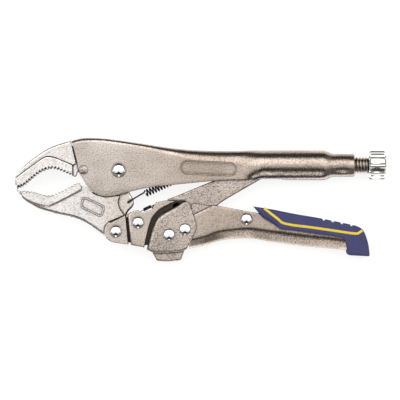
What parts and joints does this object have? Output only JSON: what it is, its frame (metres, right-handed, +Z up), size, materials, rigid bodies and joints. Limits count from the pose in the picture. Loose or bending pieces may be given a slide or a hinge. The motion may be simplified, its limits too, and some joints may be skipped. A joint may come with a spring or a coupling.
{
  "type": "locking pliers",
  "caption": "Curved-jaw locking pliers with a toggle linkage, an adjusting screw at the rear and a hinged release handle with a rubber sleeve.",
  "frame": {"origin": "centre of the bounding box's lowest face, with the tool lying on its side and closed", "axes": "+X from the jaws to the adjusting knob, +Y across the tool from the lower handle to the upper one, +Z up through its thickness"},
  "size_m": [0.254, 0.0848, 0.0205],
  "materials": {
    "satin_nickel": "satin nickel plate over pressed sheet",
    "forged_jaw": "satin nickel plate over a forging, teeth ground",
    "cast_nickel": "grainy nickel plate over a casting",
    "rivet_chrome": "bright, domed",
    "knob_chrome": "bright, fluted",
    "screw_steel": "rolled thread, lightly oiled",
    "plain_steel": "plain hardened steel",
    "spring_steel": "black oxide wire",
    "grip_rubber": "matt moulded rubber",
    "stripe_rubber": "matt moulded rubber"
  },
  "bodies": {
    "upper_frame": {"upper_handle": "satin_nickel", "fixed_jaw": "forged_jaw", "fixed_jaw_rivet": "rivet_chrome", "jaw_pivot_rivet": "rivet_chrome"},
    "lower_jaw": {"lower_jaw": "forged_jaw", "lower_jaw_rivet": "rivet_chrome", "main_spring": "spring_steel"},
    "front_lever": {"front_lever_near": "satin_nickel", "front_lever_far": "satin_nickel", "lever_spacer": "plain_steel", "lever_rivet": "rivet_chrome", "toggle_pin": "plain_steel", "release_spring": "spring_steel"},
    "toggle_link": {"toggle_link": "cast_nickel"},
    "release_handle": {"handle_front_shell": "cast_nickel", "lower_handle": "satin_nickel", "handle_liner": "cast_nickel", "release_cam": "plain_steel", "release_pivot_rivet": "rivet_chrome", "stop_rivet": "rivet_chrome", "liner_rivet": "rivet_chrome", "grip_sleeve": "grip_rubber", "grip_stripe": "stripe_rubber"},
    "thrust_tip": {"thrust_tip": "plain_steel"},
    "screw": {"adjusting_screw": "screw_steel", "adjusting_knob": "knob_chrome"}
  },
  "joints": [
    {"name": "jaw_hinge", "type": "hinge", "parent": "upper_frame", "child": "lower_jaw", "pos_m": [-0.0562, 0.02035, 0.01025], "axis": [0, 0, 1], "range_deg": [0, 28], "deforming": ["main_spring"]},
    {"name": "lever_hinge", "type": "hinge", "parent": "lower_jaw", "child": "front_lever", "pos_m": [-0.0582, -0.02155, 0.01025], "axis": [0, 0, -1], "range_deg": [0, 71.5]},
    {"name": "toggle_hinge", "type": "hinge", "parent": "front_lever", "child": "toggle_link", "pos_m": [-0.0163, -0.00505, 0.01025], "axis": [0, 0, 1], "range_deg": [0, 69.5]},
    {"name": "release_hinge", "type": "hinge", "parent": "front_lever", "child": "release_handle", "pos_m": [-0.0217, -0.02385, 0.01025], "axis": [0, 0, -1], "range_deg": [0, 6], "stiffness_Nm_per_rad": 1.5, "springref_deg": -6.88, "deforming": ["release_spring"]},
    {"name": "screw_travel", "type": "slide", "parent": "upper_frame", "child": "thrust_tip", "axis": [1, 0, 0], "range_m": [0, 0.018]},
    {"name": "screw_spin", "type": "hinge", "parent": "thrust_tip", "child": "screw", "pos_m": [0.1138, 0.02371, 0.01025], "axis": [1, 0, 0], "range_deg": [0, 3090]}
  ],
  "couplings": [
    {"joint": "lever_hinge", "follows": "jaw_hinge", "ratio": 2.5357},
    {"joint": "toggle_hinge", "follows": "jaw_hinge", "ratio": 2.4643},
    {"joint": "screw_spin", "follows": "screw_travel", "rad_per_m": 2992}
  ]
}
